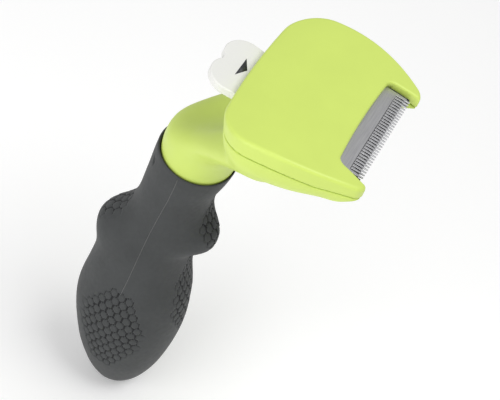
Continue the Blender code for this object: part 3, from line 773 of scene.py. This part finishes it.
def make_bar(finish):
    """The bar below the comb, with a thin black strip beside each end of the comb that paints the shade in
    the slit along each horn's inner wall.
    """
    half = NOTCH_HALF - 0.0002
    arm = BLADE_HALF - 0.0006
    top = BLADE_TOP - BLADE_THICK - GAP
    back = BAR_FRONT - BAR_DEPTH + GAP
    outline = [(half, back), (half, BLADE_FRONT - 0.0004), (arm, BLADE_FRONT - 0.0004), (arm, BAR_FRONT)]
    outline = [*outline, *[(-x, a) for x, a in reversed(outline)]]
    points, faces = outline_mesh(outline, top - BAR_THICK, top)
    # Black strips beside the comb's ends: painted shade in the slits between the comb and the horns.
    for sign in (-1, 1):
        near = sign * (BLADE_HALF + 0.00015)
        far = sign * half
        tip = BLADE_FRONT - 0.0005
        shade_strip = [(near, SHADE_STRIP_BACK), (far, SHADE_STRIP_BACK), (far, tip), (near, tip)]
        more, sides = outline_mesh(shade_strip, top + 0.00002, BLADE_TOP - 0.0001)
        faces += [tuple(i + len(points) for i in side) for side in sides]
        points += more
    bar = add_piece("ejector_push_bar_and_shade_strips", points, faces, "ejector", "dark_plastic", finish)
    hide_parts("ejector_bar")
    return bevelled(bar, 0.0003)


def button_outline():
    """A broad tab whose back end is two round lobes with a shallow notch between them."""
    lobe = BUTTON_LOBE
    center_x = BUTTON_HALF - lobe
    center_y = BUTTON_BACK + lobe
    right = [(BUTTON_FRONT_HALF, BUTTON_FRONT), (BUTTON_HALF, center_y)]
    meet = math.degrees(math.acos(center_x / lobe))
    steps = 28
    for i in range(1, steps + 1):
        angle = math.radians(-(180 - meet - 9) * i / steps)
        right.append((center_x + lobe * math.cos(angle), center_y + lobe * math.sin(angle)))
    return [*right, *[(-x, a) for x, a in reversed(right)]]


def make_spring(side, finish):
    """A copy of the CAD's return spring, the coil that presses on the base's stop; it keeps the CAD's
    length.
    """
    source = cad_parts[f"return_spring_{side}"]
    coil = bpy.data.objects.new(f"coil_{side}", source.data.copy())
    coil.matrix_world = source.matrix_world.copy()
    bpy.context.scene.collection.objects.link(coil)
    coil.data.materials.clear()
    coil.data.materials.append(finish)
    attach(coil, "body")
    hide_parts(source.name)
    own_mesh(coil)
    return coil


def make_button(finish, mark_finish):
    points, faces = outline_mesh(button_outline(), -BUTTON_THICK / 2, BUTTON_THICK / 2)
    button = add_piece("push_button", points, faces, "ejector", "white_plastic", finish)
    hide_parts("ejector_button")
    bevelled(button, 0.0005, 4, 40)
    top = BUTTON_THICK / 2
    arrow = [(0.0, ARROW_TIP), (ARROW_HALF, ARROW_BASE), (-ARROW_HALF, ARROW_BASE)]
    points, faces = outline_mesh(arrow, top - 0.0001, top + 0.00006)
    mark = add_piece("press_arrow", points, faces, "ejector", "dark_plastic", mark_finish)
    return button, mark


# --- materials ------------------------------------------------------------------------------------


def new_material(name, color, roughness, metallic=0.0):
    made = bpy.data.materials.new(name)
    made.use_nodes = True
    shader = made.node_tree.nodes["Principled BSDF"]
    shader.inputs["Base Color"].default_value = (*color, 1)
    shader.inputs["Roughness"].default_value = roughness
    shader.inputs["Metallic"].default_value = metallic
    return made, made.node_tree, shader


def noise(tree, scale, detail, stretch=(1, 1, 1)):
    """A noise texture on the object's own coordinates; scale is in features per metre."""
    place = tree.nodes.new("ShaderNodeTexCoord")
    squash = tree.nodes.new("ShaderNodeMapping")
    squash.inputs["Scale"].default_value = stretch
    texture = tree.nodes.new("ShaderNodeTexNoise")
    texture.inputs["Scale"].default_value = scale
    texture.inputs["Detail"].default_value = detail
    tree.links.new(place.outputs["Object"], squash.inputs["Vector"])
    tree.links.new(squash.outputs["Vector"], texture.inputs["Vector"])
    return texture.outputs["Fac"]


def vary_color(tree, shader, factor, dark, light):
    ramp_node = tree.nodes.new("ShaderNodeValToRGB")
    ramp_node.color_ramp.elements[0].position = 0.3
    ramp_node.color_ramp.elements[1].position = 0.7
    ramp_node.color_ramp.elements[0].color = (*dark, 1)
    ramp_node.color_ramp.elements[1].color = (*light, 1)
    tree.links.new(factor, ramp_node.inputs["Fac"])
    tree.links.new(ramp_node.outputs["Color"], shader.inputs["Base Color"])


def vary_roughness(tree, shader, factor, low, high):
    spread = tree.nodes.new("ShaderNodeMapRange")
    spread.inputs["From Min"].default_value = 0.3
    spread.inputs["From Max"].default_value = 0.7
    spread.inputs["To Min"].default_value = low
    spread.inputs["To Max"].default_value = high
    tree.links.new(factor, spread.inputs["Value"])
    tree.links.new(spread.outputs["Result"], shader.inputs["Roughness"])


def add_bump(tree, shader, factor, strength, distance):
    bump = tree.nodes.new("ShaderNodeBump")
    bump.inputs["Strength"].default_value = strength
    bump.inputs["Distance"].default_value = distance
    tree.links.new(factor, bump.inputs["Height"])
    tree.links.new(bump.outputs["Normal"], shader.inputs["Normal"])


def shade(color, amount):
    return tuple(c * amount for c in color)


def moulded_plastic(name, color, roughness, grain=4200):
    """Moulded plastic: a very fine spark-eroded grain, and faint flow marks in colour and gloss."""
    made, tree, shader = new_material(name, color, roughness)
    shader.inputs["Specular IOR Level"].default_value = 0.5
    flow = noise(tree, 55, 3, (1, 1, 0.6))
    vary_color(tree, shader, flow, shade(color, 0.975), shade(color, 1.02))
    vary_roughness(tree, shader, noise(tree, 380, 4), roughness - 0.04, roughness + 0.05)
    add_bump(tree, shader, noise(tree, grain, 2), 0.12, 0.00004)
    return made


def rubber(name, color, roughness):
    """Matt rubber: fine grain, and dust that makes it a little paler in broad patches."""
    made, tree, shader = new_material(name, color, roughness)
    shader.inputs["Specular IOR Level"].default_value = 0.28
    shader.inputs["Sheen Weight"].default_value = 0.05
    shader.inputs["Sheen Roughness"].default_value = 0.5
    vary_color(tree, shader, noise(tree, 90, 5), shade(color, 0.90), shade(color, 1.10))
    vary_roughness(tree, shader, noise(tree, 700, 3), roughness - 0.06, roughness + 0.06)
    add_bump(tree, shader, noise(tree, 3200, 3), 0.22, 0.00006)
    return made


def brushed_steel(name, color, roughness, stretch, scale=900):
    """Steel with fine grinding lines along one direction."""
    made, tree, shader = new_material(name, color, roughness, 1.0)
    lines = noise(tree, scale, 4, stretch)
    vary_color(tree, shader, lines, shade(color, 0.90), shade(color, 1.06))
    vary_roughness(tree, shader, noise(tree, scale * 0.7, 3, stretch), roughness - 0.05, roughness + 0.07)
    add_bump(tree, shader, lines, 0.10, 0.00003)
    return made


GREEN = (0.61, 0.755, 0.148)
green = moulded_plastic("green_plastic", GREEN, 0.42)
white = moulded_plastic("white_plastic", (0.80, 0.80, 0.77), 0.34)
black = moulded_plastic("black_plastic", (0.006, 0.0065, 0.009), 0.5)
print_ink = moulded_plastic("arrow_ink", (0.025, 0.027, 0.030), 0.5)
grip_rubber = rubber("grip_rubber", (0.050, 0.053, 0.054), 0.66)
# Darker rubber for the deepest parts of the cells: painted shade in the pressed-in pattern.
cell_shade_rubber = rubber("cell_shade_rubber", (0.016, 0.017, 0.018), 0.80)
line_rubber = rubber("line_rubber", (0.12, 0.122, 0.12), 0.66)
blade_steel = brushed_steel("blade_steel", (0.60, 0.60, 0.62), 0.42, (0.15, 4, 4))
screw_steel = brushed_steel("screw_steel", (0.42, 0.42, 0.44), 0.30, (3, 3, 0.3), 700)
spring_steel = brushed_steel("spring_steel", (0.50, 0.50, 0.52), 0.24, (1, 1, 1), 1500)


# --- pieces ---------------------------------------------------------------------------------------

cover = field_piece("head_cover_shell", cover_field, "head_cover", "body", "green_plastic", green)
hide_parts("head_cover")
base = field_piece("head_base_shell", base_field, "head_base", "body", "green_plastic", green)
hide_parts("head_base")
make_grip(grip_rubber, cell_shade_rubber)
make_parting_line(-1, line_rubber)
make_parting_line(1, line_rubber)
make_blade(blade_steel)
make_bar(black)
make_spring("left", spring_steel)
make_spring("right", spring_steel)
make_button(white, print_ink)

# Of the CAD's own pieces, these are plastic and all the others are screws and pins.
KEPT_FINISHES = {
    "ejector_carriage": white,
    "handle_core_left": black,
    "handle_core_right": black,
}
for node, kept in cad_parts.items():
    if kept.hide_render:
        continue
    finish = KEPT_FINISHES.get(node, screw_steel)
    for holder in kept.material_slots:
        holder.material = finish


# --- stage ----------------------------------------------------------------------------------------


def pale_floor():
    made, tree, shader = new_material("pale_floor", (0.96, 0.96, 0.96), 0.8)
    vary_color(tree, shader, noise(tree, 3, 2), (0.955, 0.955, 0.955), (0.965, 0.965, 0.965))
    shader.inputs["Emission Color"].default_value = (1, 1, 1, 1)
    shader.inputs["Emission Strength"].default_value = 0.14
    mesh = bpy.data.meshes.new("floor")
    reach = 6.0
    corners = [(-reach, -reach, 0), (reach, -reach, 0), (reach, reach, 0), (-reach, reach, 0)]
    mesh.from_pydata(corners, [], [(0, 1, 2, 3)])
    mesh.materials.append(made)
    floor = bpy.data.objects.new("floor", mesh)
    bpy.context.scene.collection.objects.link(floor)


def soft_light(name, direction, distance, size, watts):
    data = bpy.data.lights.new(name, "AREA")
    data.shape = "DISK"
    data.size = size
    data.energy = watts
    lamp = bpy.data.objects.new(name, data)
    aim = Vector((0, 0.01, 0.12))
    lamp.location = aim + Vector(direction).normalized() * distance
    lamp.rotation_euler = (lamp.location - aim).to_track_quat("Z", "Y").to_euler()
    bpy.context.scene.collection.objects.link(lamp)


def make_camera():
    """A camera above the tool's +X side and rolled, as far off as the photo's perspective asks."""
    azimuth = math.radians(7.31)
    elevation = math.radians(44.0)
    roll = math.radians(23.86)
    distance = 0.65
    shift_right = 0.01713
    shift_down = 0.01618
    level = math.cos(elevation)
    back = Vector((level * math.cos(azimuth), level * math.sin(azimuth), math.sin(elevation)))
    right = Vector((0, 0, 1)).cross(back).normalized()
    up = back.cross(right)
    turned_right = right * math.cos(roll) + up * math.sin(roll)
    turned_up = up * math.cos(roll) - right * math.sin(roll)
    data = bpy.data.cameras.new("camera")
    data.sensor_width = 36.0
    data.lens = 138.5
    camera = bpy.data.objects.new("camera", data)
    aim = Vector((0, 0, RIM_HEIGHT)) + turned_right * shift_right - turned_up * shift_down
    frame_matrix = Matrix((turned_right, turned_up, back)).transposed().to_4x4()
    frame_matrix.translation = aim + back * distance
    camera.matrix_world = frame_matrix
    bpy.context.scene.collection.objects.link(camera)
    bpy.context.scene.camera = camera


pale_floor()
world = bpy.data.worlds.new("studio")
world.use_nodes = True
world.node_tree.nodes["Background"].inputs["Color"].default_value = (1, 1, 1, 1)
world.node_tree.nodes["Background"].inputs["Strength"].default_value = 0.46
bpy.context.scene.world = world
soft_light("key", (1.0, -0.45, 0.45), 0.9, 0.7, 3.5)
soft_light("top", (0.1, 0.35, 1.0), 0.9, 0.6, 4.2)
bpy.context.scene.view_settings.view_transform = "Standard"
make_camera()
